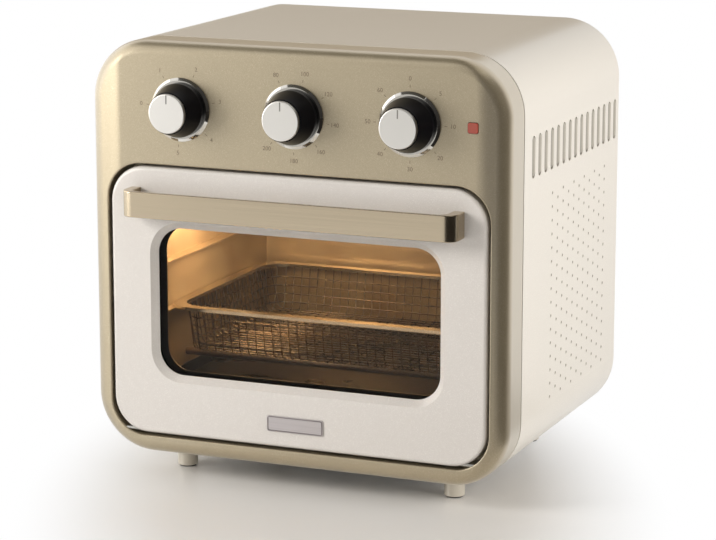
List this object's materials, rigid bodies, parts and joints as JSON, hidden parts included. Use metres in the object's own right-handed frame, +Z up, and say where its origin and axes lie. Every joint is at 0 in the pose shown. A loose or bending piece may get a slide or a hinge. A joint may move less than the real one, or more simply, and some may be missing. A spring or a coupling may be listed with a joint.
{
  "type": "air fryer oven",
  "caption": "Countertop air fryer oven with rounded corners, a drop-down glass door, turning control knobs, a convection fan and a sliding basket.",
  "frame": {"origin": "centre of the bounding box on the surface the oven stands on, under its four rubber feet", "axes": "+Z up, -Y out of the door and knobs, +X to the right for someone facing the door"},
  "size_m": [0.34, 0.3, 0.343],
  "materials": {
    "shell_paint": "satin champagne",
    "frame_champagne": "satin metallic champagne",
    "door_silver": "satin metallic silver",
    "carrier_steel": "dark satin",
    "plated_steel": "zinc plated",
    "liner_steel": "satin aluminised",
    "heater_steel": "heat-darkened",
    "black_plastic": "satin black",
    "cap_silver": "satin",
    "bright_chrome": "polished",
    "handle_metal": "brushed champagne",
    "window_glass": "smoked clear",
    "black_rubber": "matt",
    "grey_silicone": "matt",
    "white_ceramic": "matt",
    "mineral_blanket": "matt fibre",
    "lamp_red": "translucent red",
    "tray_enamel": "black non-stick",
    "basket_steel": "bright wire",
    "badge_metal": "satin",
    "motor_steel": "lamination stack"
  },
  "bodies": {
    "housing": {"front_frame": "frame_champagne", "front_carrier": "carrier_steel", "outer_shell": "shell_paint", "base_plate": "plated_steel", "rear_cover": "shell_paint", "rear_screws": "plated_steel", "cord_gland": "black_plastic", "feet": "black_plastic", "foot_pads": "black_rubber", "foot_screws": "plated_steel", "cavity_liner": "liner_steel", "rack_guides": "liner_steel", "fan_shroud": "liner_steel", "motor_bracket": "plated_steel", "fan_motor": "motor_steel", "insulation": "mineral_blanket", "upper_heater": "heater_steel", "lower_heaters": "heater_steel", "heater_bushes": "white_ceramic", "heater_guard": "liner_steel", "lamp_cover": "window_glass", "cavity_lamp": "white_ceramic", "control_bracket": "plated_steel", "function_switch": "black_plastic", "thermostat": "plated_steel", "timer_mechanism": "black_plastic", "indicator_lens": "lamp_red", "indicator_holder": "black_plastic", "dial_rings": "bright_chrome", "door_magnets": "carrier_steel"},
    "door": {"door_frame": "door_silver", "hinge_pins": "plated_steel", "outer_glass": "window_glass", "inner_glass": "window_glass", "inner_door_panel": "plated_steel", "door_screws": "plated_steel", "door_gasket": "grey_silicone", "door_handle": "handle_metal", "handle_screws": "plated_steel", "badge_plate": "badge_metal"},
    "fan_rotor": {"fan_shaft": "plated_steel", "convection_fan": "plated_steel", "cooling_fan": "black_plastic"},
    "basket": {"basket_tub": "basket_steel", "basket_rim": "basket_steel"},
    "tray": {"drip_tray": "tray_enamel"},
    "function_dial": {"function_knob": "black_plastic", "function_knob_cap": "cap_silver", "function_shaft": "plated_steel"},
    "temperature_dial": {"temperature_knob": "black_plastic", "temperature_knob_cap": "cap_silver", "temperature_shaft": "plated_steel"},
    "timer_dial": {"timer_knob": "black_plastic", "timer_knob_cap": "cap_silver", "timer_shaft": "plated_steel"}
  },
  "joints": [
    {"name": "door_hinge", "type": "hinge", "parent": "housing", "child": "door", "pos_m": [0, -0.1228, 0.0384], "axis": [1, 0, 0], "range_deg": [0, 90]},
    {"name": "function_turn", "type": "hinge", "parent": "housing", "child": "function_dial", "pos_m": [-0.093, -0.125, 0.292], "axis": [0, 1, 0], "range_deg": [0, 270]},
    {"name": "temperature_turn", "type": "hinge", "parent": "housing", "child": "temperature_dial", "pos_m": [0, -0.125, 0.292], "axis": [0, 1, 0], "range_deg": [0, 300]},
    {"name": "timer_turn", "type": "hinge", "parent": "housing", "child": "timer_dial", "pos_m": [0.093, -0.125, 0.292], "axis": [0, 1, 0], "range_deg": [0, 330]},
    {"name": "fan_spin", "type": "hinge", "parent": "housing", "child": "fan_rotor", "pos_m": [0, 0.0105, 0.25], "axis": [0, 0, 1], "continuous": true},
    {"name": "basket_slide", "type": "slide", "parent": "housing", "child": "basket", "axis": [0, -1, 0], "range_m": [0, 0.118]},
    {"name": "tray_slide", "type": "slide", "parent": "housing", "child": "tray", "axis": [0, -1, 0], "range_m": [0, 0.055]}
  ],
  "couplings": [
    {"joint": "basket_slide", "follows": "door_hinge", "m_per_rad": 0.075},
    {"joint": "tray_slide", "follows": "door_hinge", "m_per_rad": 0.035}
  ]
}
